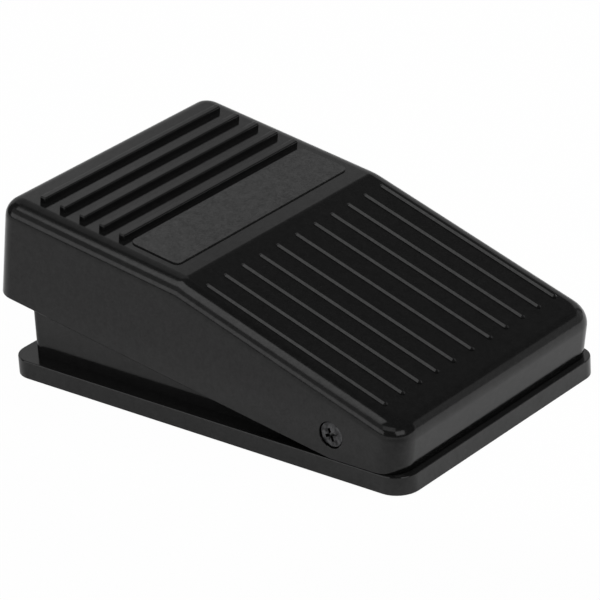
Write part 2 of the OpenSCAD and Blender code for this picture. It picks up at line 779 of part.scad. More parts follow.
// The hood's side view, with its faces moved in by the given amounts
function hood_profile(top_in, end_in, round_r, nose_r) =
    let (rear = crossing(rear_n, rear_c - end_in - round_r, top_n, top_c - top_in - round_r),
         crest = crossing(top_n, top_c - top_in, slope_n, slope_c - top_in),
         nose = crossing(slope_n, slope_c - top_in - nose_r, front_n, front_c - end_in - nose_r),
         front_foot = crossing(front_n, front_c - end_in, [0, 1], 0),
         rear_foot = crossing(rear_n, rear_c - end_in, [0, 1], 0))
    concat([front_foot, rear_foot], arc(rear, round_r, skirt_a, 90 + rear_top_a), [crest],
           arc(nose, nose_r, 90 + slope_a, 180 + skirt_a));

// A long block whose upper side edges are rounded, lying along a top face that falls to the front
module rounded_top(x, top_in, fall, round_r) {
    section = concat(arc([x - round_r, -top_in - round_r], round_r, 0, 90),
                     arc([round_r - x, -top_in - round_r], round_r, 90, 180), [[-x, -base_l], [x, -base_l]]);
    translate([0, crest_y, crest_z]) rotate([90 + fall, 0, 0]) translate([0, 0, -base_l])
        linear_extrude(2 * base_l) polygon(section);
}

// The hood's rounded block, with its faces moved in by the given amounts
module hood_form(side_in, top_in, end_in, round_r, nose_r) {
    x = hood_x - side_in;
    intersection() {
        across(base_w) polygon(hood_profile(top_in, end_in, round_r, nose_r));
        translate([0, hood_front_y, skirt_z]) rotate([skirt_a, 0, 0])
            rounded_block(-x, x, end_in, 2 * base_l, front_corner_r - end_in, -base_l, base_l);
        translate([0, hood_rear_y, skirt_rear_z]) rotate([skirt_a, 0, 0])
            rounded_block(-x, x, -2 * base_l, -end_in, corner_r - end_in, -base_l, base_l);
        rounded_top(x, top_in, rear_top_a, round_r);
        rounded_top(x, top_in, slope_a, round_r);
    }
}

// Everything below the skirt's lower edge
module below_skirt() {
    reach = base_l;
    across(base_w) polygon([[-reach, -reach], [reach, -reach],
                            [reach, skirt_z + (reach - kink_y) * tan(skirt_a)],
                            [kink_y, skirt_z], [-reach, skirt_z]]);
}

// An upright post from a height up into the hood's top
module hood_post(x, y, z, d) {
    ceiling = min((top_c - top_t - top_n[0] * (y - d / 2)) / top_n[1],
                  (slope_c - top_t - slope_n[0] * (y - d / 2)) / slope_n[1]);
    translate([x, y, z]) cylinder(h = ceiling - z + top_t / 2, d = d, $fn = smooth);
}

// Moves to a place on the rear top or on the slope, measured from the crest
module on_rear_top(s) {
    translate([0, crest_y, crest_z]) rotate([rear_top_a, 0, 0]) translate([0, s, 0]) children();
}
module on_slope(s) {
    translate([0, crest_y, crest_z]) rotate([slope_a, 0, 0]) translate([0, -s, 0]) children();
}

module tread_ribs() {
    rib_x = hood_x - rear_rib_side_in;
    beside = (slope_ribs - 1) / 2;
    last = (hood_rear_y - rear_rib_in - crest_y) / cos(rear_top_a);
    long_rib_l = (crest_y - hood_front_y - slope_rib_in) / cos(slope_a) - slope_rib_start;
    for (i = [0:rear_ribs - 1])
        on_rear_top(last - i * rear_rib_pitch)
            translate([-rib_x, 0, -join]) cube([2 * rib_x, rear_rib_t, rear_rib_h + join]);
    for (i = [-beside:beside])
        on_slope(slope_rib_start)
            translate([sign(i) * (slope_rib_first + (abs(i) - 1) * slope_rib_pitch), 0, 0])
                rotate([90, 0, 0]) cylinder(h = long_rib_l, d = slope_rib_t, $fn = smooth);
}

module pedal_hood() {
    color(black) difference() {
        union() {
            difference() {
                hood_form(0, 0, 0, edge_r, front_r);
                hood_form(side_t, top_t, end_t, edge_r - side_t, front_r - top_t);
            }
            both_sides() bar_x(boss_face_x, hood_x - side_t + join, boss_d);
            hood_post(0, spring_y, spring_top_z + seat_t, spring_post_d);
            hood_post(0, switch_y, pad_z + pad_t, pad_d);
            for (p = bump_places) hood_post(p[0], p[1], stop_z, stop_post_d);
            tread_ribs();
        }
        below_skirt();
        both_sides() {
            bar_x(bush_face_x, hood_x + join, counterbore_d);
            bar_x(boss_face_x - join, bush_face_x + join, bush_d + 2 * screw_fit);
        }
        translate([0, hood_rear_y, skirt_rear_z]) rotate([skirt_a, 0, 0])
            translate([-notch_w / 2, -2 * end_t, -notch_h]) cube([notch_w, 4 * end_t, 2 * notch_h]);
    }
}

module label_plate() {
    label_x = hood_x - label_side_in;
    color(soft_black) on_rear_top(label_start) linear_extrude(label_t)
        polygon(rounded_rect(-label_x, label_x, 0, label_w, label_r));
}

module actuator_pad() {
    color(nylon) translate([0, switch_y, pad_z]) cylinder(h = pad_t, d = pad_d, $fn = smooth);
}

module spring_cap() {
    color(nylon) translate([0, spring_y, spring_top_z]) {
        cylinder(h = seat_t, d = seat_d, $fn = smooth);
        translate([0, 0, -spigot_l]) cylinder(h = spigot_l + seat_t, d = spigot_d, $fn = smooth);
    }
}

base_tray();
rubber_feet();
ballast_plate();
ballast_screws();
circuit_board();
board_screws();
controller_chip();
crystal_can();
board_parts();
cord_header();
header_pins();
switch_body();
switch_terminals();
switch_plunger();
spring_seat();
return_spring();
cord_grommet();
cord_clamp();
clamp_screws();
bump_stops();
pivot_inserts();
pivot_screws();
pivot_bushes();
pedal_hood();
label_plate();
actuator_pad();
spring_cap();
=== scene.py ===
"""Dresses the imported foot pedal: moulded hood and base, ribs, label, screws, spring and a plain studio."""

import logging
import math
from dataclasses import dataclass
from enum import Enum

import bmesh
import bpy
from mathutils import Matrix, Vector

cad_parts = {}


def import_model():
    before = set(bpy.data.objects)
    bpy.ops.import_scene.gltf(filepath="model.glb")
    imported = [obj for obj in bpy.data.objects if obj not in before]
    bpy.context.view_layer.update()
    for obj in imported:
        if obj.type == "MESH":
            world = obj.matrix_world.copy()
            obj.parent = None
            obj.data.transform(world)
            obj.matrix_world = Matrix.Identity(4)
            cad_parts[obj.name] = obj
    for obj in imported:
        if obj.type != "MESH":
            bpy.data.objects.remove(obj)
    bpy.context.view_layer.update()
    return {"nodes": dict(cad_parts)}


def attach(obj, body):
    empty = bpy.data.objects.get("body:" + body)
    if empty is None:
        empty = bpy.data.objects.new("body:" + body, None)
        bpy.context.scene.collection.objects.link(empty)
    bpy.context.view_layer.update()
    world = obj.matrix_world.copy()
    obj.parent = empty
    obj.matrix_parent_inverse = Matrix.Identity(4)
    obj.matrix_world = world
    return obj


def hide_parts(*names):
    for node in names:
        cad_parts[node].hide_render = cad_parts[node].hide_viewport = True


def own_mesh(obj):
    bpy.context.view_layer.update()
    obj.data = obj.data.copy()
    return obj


LOG = logging.getLogger("foot_pedal")
MM = 0.001
# Points nearer than this many metres count as one
CLOSE = 1e-6
Colour = tuple[float, float, float]
Mesh = bmesh.types.BMesh
Edge = bmesh.types.BMEdge
Vert = bmesh.types.BMVert
Piece = bpy.types.Object
Node = bpy.types.Node
Socket = bpy.types.NodeSocket


class Body(Enum):
    """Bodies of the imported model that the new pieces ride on."""

    BASE = "base"
    PEDAL = "pedal"


class SocketKind(Enum):
    """Kinds of socket on a shared shader group."""

    VALUE = "NodeSocketFloat"
    VECTOR = "NodeSocketVector"


def turn_x(degrees: float) -> Matrix:
    """Returns a turn about the X axis."""
    return Matrix.Rotation(math.radians(degrees), 4, "X")


def place(x: float, y: float, z: float) -> Matrix:
    """Returns a move by a distance given in millimetres."""
    return Matrix.Translation(Vector((x, y, z)) * MM)


def add_block(bm: Mesh, low: Vector, high: Vector) -> list[Vert]:
    """Adds a block to a mesh.

    Args:
        bm: The mesh that gains the block.
        low: Its lowest corner in millimetres.
        high: Its highest corner in millimetres.

    Returns:
        The block's corners.
    """
    size = (high - low) * MM
    matrix = Matrix.Translation((low + high) * (MM / 2)) @ Matrix.Diagonal((*size, 1.0))
    return bmesh.ops.create_cube(bm, size=1.0, matrix=matrix)["verts"]


def round_edges(bm: Mesh, edges: list[Edge], radius: float, segments: int) -> None:
    """Rounds edges of a mesh.

    Args:
        bm: The mesh.
        edges: The edges to round.
        radius: How far the rounding reaches from the edge, in millimetres.
        segments: Number of facets across the rounding.
    """
    bmesh.ops.bevel(bm, geom=edges, offset=radius * MM, offset_type="OFFSET", segments=segments, profile=0.5,
                    affect="EDGES", material=-1, clamp_overlap=True)


def upright_edges(bm: Mesh) -> list[Edge]:
    """Returns the edges that run along Z."""
    return [e for e in bm.edges if (e.verts[0].co - e.verts[1].co).xy.length < CLOSE]


def level_edges(bm: Mesh, height: float) -> list[Edge]:
    """Returns the edges that lie at one height, given in millimetres."""
    return [e for e in bm.edges if all(abs(v.co.z - height * MM) < CLOSE for v in e.verts)]


def join_into(target: Mesh, part: Mesh, matrix: Matrix) -> None:
    """Moves a part and adds it to another mesh.

    Args:
        target: The mesh that gains the part.
        part: The part, which is used up.
        matrix: Where the part goes.
    """
    part.transform(matrix)
    mesh = bpy.data.meshes.new("part")
    part.to_mesh(mesh)
    part.free()
    target.from_mesh(mesh)
    bpy.data.meshes.remove(mesh)


def turned(profile: list[tuple[float, float]], steps: int = 48) -> Mesh:
    """Spins a half section about the Z axis.

    Args:
        profile: Radius and height of each point in millimetres, from one end of the axis to the other.
        steps: Number of facets around the axis.

    Returns:
        The closed round body.
    """
    bm = bmesh.new()
    verts = [bm.verts.new((r * MM, 0.0, z * MM)) for r, z in profile]
    edges = [bm.edges.new(pair) for pair in zip(verts, verts[1:])]
    bmesh.ops.spin(bm, geom=verts + edges, axis=(0, 0, 1), cent=(0, 0, 0), angle=math.tau, steps=steps,
                   use_merge=True)
    bmesh.ops.remove_doubles(bm, verts=bm.verts, dist=CLOSE)
    bmesh.ops.recalc_face_normals(bm, faces=bm.faces)
    return bm


def make_object(bm: Mesh, name: str) -> Piece:
    """Turns a finished mesh into an object at the origin.

    Args:
        bm: The mesh, which is used up.
        name: The object's name.

    Returns:
        The linked object.
    """
    mesh = bpy.data.meshes.new(name)
    bm.to_mesh(mesh)
    bm.free()
    obj = bpy.data.objects.new(name, mesh)
    bpy.context.scene.collection.objects.link(obj)
    return obj


def apply_modifiers(obj: Piece) -> None:
    """Replaces an object's mesh by the one that its modifiers make."""
    bpy.context.view_layer.update()
    graph = bpy.context.evaluated_depsgraph_get()
    result = bpy.data.meshes.new_from_object(obj.evaluated_get(graph))
    before = obj.data
    obj.modifiers.clear()
    obj.data = result
    bpy.data.meshes.remove(before)
    obj.data.name = obj.name


def cut_away(obj: Piece, cutter: Mesh) -> None:
    """Cuts a shape out of an object.

    Args:
        obj: The object that is cut.
        cutter: The shape that goes, which is used up.
    """
    tool = make_object(cutter, "cutter")
    cut = obj.modifiers.new("cut", "BOOLEAN")
    cut.operation = "DIFFERENCE"
    cut.solver = "EXACT"
    cut.object = tool
    apply_modifiers(obj)
    mesh = tool.data
    bpy.data.objects.remove(tool)
    bpy.data.meshes.remove(mesh)


def soften(obj: Piece, width: float, angle: float = 40.0) -> None:
    """Rounds an object's sharp edges a little and shades the rest smooth.

    Args:
        obj: The object.
        width: Width of the rounding in millimetres, or 0 for none.
        angle: Edges that turn by more degrees than this are sharp.
    """
    if width > 0:
        bevel = obj.modifiers.new("soft_edges", "BEVEL")
        bevel.width = width * MM
        bevel.segments = 2
        bevel.limit_method = "ANGLE"
        bevel.angle_limit = math.radians(angle)
        bevel.use_clamp_overlap = True
    obj.data.shade_smooth()
    obj.data.set_sharp_from_angle(angle=math.radians(angle))
    normals = obj.modifiers.new("even_shading", "WEIGHTED_NORMAL")
    normals.keep_sharp = True
    apply_modifiers(obj)


class ShaderBench:
    """Lays out the nodes of one material or shader group."""

    def __init__(self, tree: bpy.types.NodeTree) -> None:
        """Keeps the tree that gains the nodes."""
        self.tree = tree

    def node(self, kind: str, **settings: object) -> Node:
        """Adds a node.

        Args:
            kind: Its type.
            settings: Values for its properties.

        Returns:
            The node.
        """
        made = self.tree.nodes.new(kind)
        for key, value in settings.items():
            setattr(made, key, value)
        return made

    def link(self, source: Socket, target: Socket) -> None:
        """Joins two sockets."""
        self.tree.links.new(source, target)

    def math(self, operation: str, first: Socket, second: object) -> Socket:
        """Adds a sum.

        Args:
            operation: The kind of sum.
            first: Its first socket.
            second: A number or another socket.

        Returns:
            The socket with the result.
        """
        made = self.node("ShaderNodeMath", operation=operation)
        self.link(first, made.inputs[0])
        if isinstance(second, Socket):
            self.link(second, made.inputs[1])
        else:
            made.inputs[1].default_value = second
        return made.outputs[0]

    def spread(self, source: Socket, low: float, high: float,
               take: tuple[float, float] = (0.0, 1.0)) -> Socket:
        """Maps a value to another range.

        Args:
            source: The value's socket.
            low: Lowest result.
            high: Highest result.
            take: The range that the value comes in.

        Returns:
            The socket with the result.
        """
        made = self.node("ShaderNodeMapRange")
        made.inputs["From Min"].default_value = take[0]
        made.inputs["From Max"].default_value = take[1]
        made.inputs["To Min"].default_value = low
        made.inputs["To Max"].default_value = high
        self.link(source, made.inputs["Value"])
        return made.outputs["Result"]

    def ramp(self, source: Socket, stops: tuple[tuple[float, float], ...]) -> Socket:
        """Maps a value to greys, with straight runs between stops.

        Args:
            source: The value's socket.
            stops: Each stop's value and grey, in rising order.

        Returns:
            The socket with the grey.
        """
        low, high = stops[0][0], stops[-1][0]
        made = self.node("ShaderNodeValToRGB")
        elements = made.color_ramp.elements
        for value, _ in stops[1:-1]:
            elements.new((value - low) / (high - low))
        for element, (_, tone) in zip(elements, stops):
            element.color = (tone, tone, tone, 1.0)
        self.link(self.spread(source, 0.0, 1.0, (low, high)), made.inputs["Fac"])
        return made.outputs["Color"]

    def tint(self, factor: Socket, dark: Colour, light: Colour) -> Socket:
        """Mixes two colours.

        Args:
            factor: How much of the light one shows.
            dark: The first colour.
            light: The second colour.

        Returns:
            The socket with the mixed colour.
        """
        made = self.node("ShaderNodeMix", data_type="RGBA")
        made.inputs["A"].default_value = (*dark, 1.0)
        made.inputs["B"].default_value = (*light, 1.0)
        self.link(factor, made.inputs["Factor"])
        return made.outputs["Result"]

    def noise(self, vector: Socket, scale: object, detail: float, roughness: float = 0.5) -> Socket:
        """Adds a noise pattern.

        Args:
            vector: Its coordinates.
            scale: A number or a socket for its scale.
            detail: Number of finer layers.
            roughness: How much the finer layers count.

        Returns:
            The socket with the pattern's value.
        """
        made = self.node("ShaderNodeTexNoise")
        made.inputs["Detail"].default_value = detail
        made.inputs["Roughness"].default_value = roughness
        if isinstance(scale, Socket):
            self.link(scale, made.inputs["Scale"])
        else:
            made.inputs["Scale"].default_value = scale
        self.link(vector, made.inputs["Vector"])
        return made.outputs["Fac"]


class SharedEffect:
    """A shader group that several finishes use."""

    name = "effect"
    inputs: tuple[tuple[str, float], ...] = ()
    outputs: tuple[str, ...] = ()

    def tree(self) -> bpy.types.NodeTree:
        """Returns the group, made on its first use."""
        found = bpy.data.node_groups.get(self.name)
        if found:
            return found
        group = bpy.data.node_groups.new(self.name, "ShaderNodeTree")
        group.interface.new_socket("Vector", in_out="INPUT", socket_type=SocketKind.VECTOR.value)
        for label, value in self.inputs:
            socket = group.interface.new_socket(label, in_out="INPUT", socket_type=SocketKind.VALUE.value)
            socket.default_value = value
        for label in self.outputs:
            group.interface.new_socket(label, in_out="OUTPUT", socket_type=SocketKind.VALUE.value)
        bench = ShaderBench(group)
        self.lay_out(bench, bench.node("NodeGroupInput"), bench.node("NodeGroupOutput"))
        return group

    def lay_out(self, bench: ShaderBench, given: Node, result: Node) -> None:
        """Fills the group with nodes.

        Args:
            bench: Where the nodes go.
            given: The group's input node.
            result: The group's output node.
        """
        raise NotImplementedError

    def use(self, bench: ShaderBench, vector: Socket, **values: float) -> Node:
        """Places the group in a material.

        Args:
            bench: The material's nodes.
            vector: The coordinates that it reads.
            values: Values for its inputs.

        Returns:
            The group's node.
        """
        made = bench.node("ShaderNodeGroup", node_tree=self.tree())
        bench.link(vector, made.inputs["Vector"])
        for label, value in values.items():
            made.inputs[label.replace("_", " ").title()].default_value = value
        return made


class MouldGrain(SharedEffect):
    """The fine spark-eroded texture that a mould leaves on plastic."""

    name = "mould_grain"
    inputs = (("Grain Scale", 3000.0),)
    outputs = ("Height", "Speckle")
    coarse_scale = 0.31
    fine_share = 0.65
    speckle_range = (0.35, 0.65)

    def lay_out(self, bench: ShaderBench, given: Node, result: Node) -> None:
        """Mixes two sizes of grain; see SharedEffect.lay_out."""
        vector, scale = given.outputs["Vector"], given.outputs["Grain Scale"]
        fine = bench.noise(vector, scale, detail=2.0, roughness=0.6)
        coarse = bench.noise(vector, bench.math("MULTIPLY", scale, self.coarse_scale), detail=1.0)
        both = bench.math("ADD", bench.math("MULTIPLY", fine, self.fine_share),
                          bench.math("MULTIPLY", coarse, 1.0 - self.fine_share))
        bench.link(both, result.inputs["Height"])
        bench.link(bench.spread(both, 0.0, 1.0, self.speckle_range), result.inputs["Speckle"])


class Handling(SharedEffect):
    """Soft uneven gloss from touch and dust."""

    name = "handling"
    inputs = (("Patch Scale", 45.0),)
    outputs = ("Dull", "Dust")
    speck_scale = 30.0
    dull_range = (0.3, 0.7)
    dust_range = (0.68, 0.8)

    def lay_out(self, bench: ShaderBench, given: Node, result: Node) -> None:
        """Mixes wide patches and small specks; see SharedEffect.lay_out."""
        vector, scale = given.outputs["Vector"], given.outputs["Patch Scale"]
        patches = bench.noise(vector, scale, detail=3.0, roughness=0.55)
        specks = bench.noise(vector, bench.math("MULTIPLY", scale, self.speck_scale), detail=1.0)
        bench.link(bench.spread(patches, 0.0, 1.0, self.dull_range), result.inputs["Dull"])
        bench.link(bench.spread(specks, 0.0, 1.0, self.dust_range), result.inputs["Dust"])


class DrawnLines(SharedEffect):
    """Fine lines that turning, drawing or rolling leaves on metal."""

    name = "drawn_lines"
    inputs = (("Line Scale", 900.0), ("Stretch", 0.06))
    outputs = ("Height", "Tone")
    tone_range = (0.3, 0.7)

    def lay_out(self, bench: ShaderBench, given: Node, result: Node) -> None:
        """Stretches a noise pattern along X; see SharedEffect.lay_out."""
        squeeze = bench.node("ShaderNodeCombineXYZ")
        bench.link(given.outputs["Stretch"], squeeze.inputs["X"])
        squeeze.inputs["Y"].default_value = 1.0
        squeeze.inputs["Z"].default_value = 1.0
        scaled = bench.node("ShaderNodeVectorMath", operation="MULTIPLY")
        bench.link(given.outputs["Vector"], scaled.inputs[0])
        bench.link(squeeze.outputs["Vector"], scaled.inputs[1])
        lines = bench.noise(scaled.outputs["Vector"], given.outputs["Line Scale"], detail=3.0, roughness=0.6)
        bench.link(lines, result.inputs["Height"])
        bench.link(bench.spread(lines, 0.0, 1.0, self.tone_range), result.inputs["Tone"])


@dataclass(frozen=True)
class Finish:
    """What every finish has: a name, two tones and how it shines."""

    name: str
    dark: Colour
    light: Colour
    rough: tuple[float, float]
    metallic: float = 0.0
    bump: float = 0.1
    depth: float = 0.01

    def material(self) -> bpy.types.Material:
        """Returns the finish as a material, made on its first use.

        Returns:
            The material, whose prefix keeps it apart from the frame's plain ones.
        """
        found = bpy.data.materials.get(f"finish_{self.name}")
        if found:
            return found
        made = bpy.data.materials.new(f"finish_{self.name}")
        made.use_nodes = True
        bench = ShaderBench(made.node_tree)
        shader = made.node_tree.nodes["Principled BSDF"]
        shader.inputs["Metallic"].default_value = self.metallic
        coords = bench.node("ShaderNodeTexCoord").outputs["Object"]
        height = self.lay_out(bench, shader, coords)
        raised = bench.node("ShaderNodeBump")
        raised.inputs["Strength"].default_value = self.bump
        raised.inputs["Distance"].default_value = self.depth * MM
        bench.link(height, raised.inputs["Height"])
        bench.link(raised.outputs["Normal"], shader.inputs["Normal"])
        return made

    def lay_out(self, bench: ShaderBench, shader: Node, coords: Socket) -> Socket:
        """Lays out colour and gloss.

        Args:
            bench: The material's nodes.
            shader: The Principled BSDF.
            coords: The piece's own coordinates.

        Returns:
            The socket with the surface's height.
        """
        raise NotImplementedError

    def dress(self, obj: Piece) -> None:
        """Puts the finish on an object."""
        if obj.material_slots:
            obj.material_slots[0].material = self.material()
        else:
            obj.data.materials.append(self.material())


@dataclass(frozen=True)
class MouldedPlastic(Finish):
    """Injection-moulded plastic with its fine texture and handling marks."""

    grain: float = 3000.0
    grain_share: float = 0.6
    dust: float = 0.25
    glint: float = 0.03

    def lay_out(self, bench: ShaderBench, shader: Node, coords: Socket) -> Socket:
        """Grain, dull patches and dust; see Finish.lay_out."""
        grain = MouldGrain().use(bench, coords, grain_scale=self.grain)
        marks = Handling().use(bench, coords)
        tone = bench.math("MULTIPLY", grain.outputs["Speckle"], self.grain_share)
        dusty = bench.math("MULTIPLY", marks.outputs["Dust"], self.dust)
        colour = bench.tint(bench.math("ADD", tone, dusty), self.dark, self.light)
        bench.link(colour, shader.inputs["Base Color"])
        bench.link(bench.spread(marks.outputs["Dull"], *self.rough), shader.inputs["Roughness"])
        bench.link(bench.spread(grain.outputs["Speckle"], 0.5 - self.glint, 0.5 + self.glint),
                   shader.inputs["Specular IOR Level"])
        return grain.outputs["Height"]


@dataclass(frozen=True)
class WorkedMetal(Finish):
    """Turned, drawn or rolled metal with fine lines."""

    line_scale: float = 900.0
    stretch: float = 0.06
    stain_scale: float = 120.0

    def lay_out(self, bench: ShaderBench, shader: Node, coords: Socket) -> Socket:
        """Lines and stains; see Finish.lay_out."""
        lines = DrawnLines().use(bench, coords, line_scale=self.line_scale, stretch=self.stretch)
        marks = Handling().use(bench, coords, patch_scale=self.stain_scale)
        bench.link(bench.tint(lines.outputs["Tone"], self.dark, self.light), shader.inputs["Base Color"])
        bench.link(bench.spread(marks.outputs["Dull"], *self.rough), shader.inputs["Roughness"])
        return lines.outputs["Height"]


@dataclass(frozen=True)
class BoardLaminate(Finish):
    """Solder mask over copper tracks on a circuit board."""

    track_scale: float = 160.0
    track_edge: tuple[float, float] = (0.05, 0.09)
    unevenness: float = 0.55
    weave_scale: float = 1500.0
    track_share: float = 0.7
    weave_share: float = 0.2

    def lay_out(self, bench: ShaderBench, shader: Node, coords: Socket) -> Socket:
        """Square track cells under the mask; see Finish.lay_out."""
        cells = bench.node("ShaderNodeTexVoronoi", distance="CHEBYCHEV", feature="DISTANCE_TO_EDGE")
        cells.inputs["Scale"].default_value = self.track_scale
        cells.inputs["Randomness"].default_value = self.unevenness
        bench.link(coords, cells.inputs["Vector"])
        tracks = bench.spread(cells.outputs["Distance"], 1.0, 0.0, self.track_edge)
        weave = MouldGrain().use(bench, coords, grain_scale=self.weave_scale)
        tone = bench.math("ADD", bench.math("MULTIPLY", tracks, self.track_share),
                          bench.math("MULTIPLY", weave.outputs["Speckle"], self.weave_share))
        bench.link(bench.tint(tone, self.dark, self.light), shader.inputs["Base Color"])
        bench.link(bench.spread(weave.outputs["Speckle"], *self.rough), shader.inputs["Roughness"])
        return tone


def grey(tone: float) -> Colour:
    """Returns a neutral colour."""
    return tone, tone, tone


HOOD_PLASTIC = MouldedPlastic("hood_plastic", grey(0.0035), grey(0.0075), (0.13, 0.17), bump=0.16, depth=0.02,
                              grain=2200.0, glint=0.06)
# The base's black plastic, its tones lightened above the hood's as painted fill light in its shaded gap and
# flange
BASE_PLASTIC_PAINTED_FILL = MouldedPlastic("base_plastic", grey(0.006), grey(0.012), (0.1, 0.14), bump=0.12, depth=0.02,
                              grain=2200.0, glint=0.06)
LABEL_PLASTIC = MouldedPlastic("label_plastic", grey(0.013), grey(0.038), (0.16, 0.22), bump=0.35, depth=0.03,
                               grain=1900.0, glint=0.12)
RUBBER = MouldedPlastic("soft_rubber", grey(0.012), grey(0.022), (0.6, 0.75), bump=0.3, depth=0.03,
                        grain=1500.0, dust=0.5)
NYLON = MouldedPlastic("natural_nylon", (0.60, 0.59, 0.54), (0.72, 0.71, 0.66), (0.38, 0.5), depth=0.02)
CERAMIC = MouldedPlastic("fired_ceramic", (0.30, 0.22, 0.15), (0.42, 0.33, 0.24), (0.35, 0.5))
CHIP = MouldedPlastic("moulding_compound", (0.010, 0.010, 0.011), (0.020, 0.020, 0.022), (0.45, 0.55),
                      bump=0.2)
RED_PLASTIC = MouldedPlastic("red_acetal", (0.40, 0.012, 0.008), (0.48, 0.02, 0.012), (0.3, 0.38), bump=0.05)
BLACK_STEEL = WorkedMetal("black_oxide_steel", (0.02, 0.02, 0.021), (0.15, 0.15, 0.154), (0.18, 0.3),
                          metallic=1.0, bump=0.9, depth=0.1, stretch=0.8)
ZINC_STEEL = WorkedMetal("zinc_plated_steel", (0.50, 0.51, 0.53), (0.62, 0.63, 0.65), (0.25, 0.38),
                         metallic=1.0)
SPRING_STEEL = WorkedMetal("spring_wire", (0.38, 0.38, 0.40), (0.52, 0.52, 0.54), (0.28, 0.4), metallic=1.0)
BALLAST_STEEL = WorkedMetal("phosphated_sheet", (0.10, 0.10, 0.105), (0.17, 0.17, 0.18), (0.45, 0.6),
                            metallic=0.8)
BRASS = WorkedMetal("turned_brass", (0.55, 0.38, 0.12), (0.68, 0.50, 0.20), (0.25, 0.38), metallic=1.0)
LAMINATE = BoardLaminate("board_laminate", (0.008, 0.075, 0.03), (0.03, 0.16, 0.07), (0.25, 0.4), bump=0.2)


@dataclass(frozen=True)
class HoodPlanes:
    """Where the hood's faces lie, in millimetres and degrees."""

    half_width: float = 34.0
    front_y: float = -52.25
    rear_y: float = 53.75
    crest_y: float = 2.15
    crest_z: float = 33.85
    skirt_z: float = 4.66
    kink_y: float = -35.435
    skirt_rise: float = 9.25
    rear_rise: float = 9.0
    slope_fall: float = 18.6
    wall: float = 2.0

    @property
    def skirt_rear_z(self) -> float:
        """Height of the skirt's lower edge at the rear."""
        return self.skirt_z + (self.rear_y - self.kink_y) * math.tan(math.radians(self.skirt_rise))

    @property
    def nose(self) -> tuple[float, float]:
        """Y and Z where the leaning front wall meets the slope."""
        lean = math.tan(math.radians(self.skirt_rise))
        fall = math.tan(math.radians(self.slope_fall))
        run = self.crest_y - self.front_y - self.skirt_z * lean
        z = (self.crest_z - run * fall) / (1 + lean * fall)
        return self.front_y - (z - self.skirt_z) * lean, z

    @property
    def rear_top(self) -> tuple[float, float]:
        """Y and Z where the rear wall meets the rear top."""
        lean = math.tan(math.radians(self.skirt_rise))
        rise = math.tan(math.radians(self.rear_rise))
        run = self.rear_y + self.skirt_rear_z * lean - self.crest_y
        z = (self.crest_z + run * rise) / (1 + lean * rise)
        return self.rear_y - (z - self.skirt_rear_z) * lean, z

    def ceiling(self, y: float) -> float:
        """Returns the height of the inner top above a place along the length."""
        fall = self.rear_rise if y > self.crest_y else self.slope_fall
        angle = math.radians(fall)
        return self.crest_z + (y - self.crest_y) * math.tan(angle) - self.wall / math.cos(angle)

    def on_rear_top(self, distance: float) -> Matrix:
        """Returns the place on the rear top at a distance behind the crest."""
        return place(0, self.crest_y, self.crest_z) @ turn_x(self.rear_rise) @ place(0, distance, 0)

    def on_slope(self, distance: float) -> Matrix:
        """Returns the place on the slope at a distance in front of the crest."""
        return place(0, self.crest_y, self.crest_z) @ turn_x(self.slope_fall) @ place(0, -distance, 0)


PLANES = HoodPlanes()
# Y and Z of the axis that the hood turns about
PIVOT = (-36.05, 10.1)


def along_pivot(side: int) -> Matrix:
    """Returns the turn that lays the Z axis along the pivot, towards one side."""
    return place(0, *PIVOT) @ Matrix.Rotation(side * math.pi / 2, 4, "Y")


@dataclass(frozen=True)
class Post:
    """A round post under the hood's top: its place, its lower end and its radius."""

    x: float
    y: float
    low_z: float
    radius: float


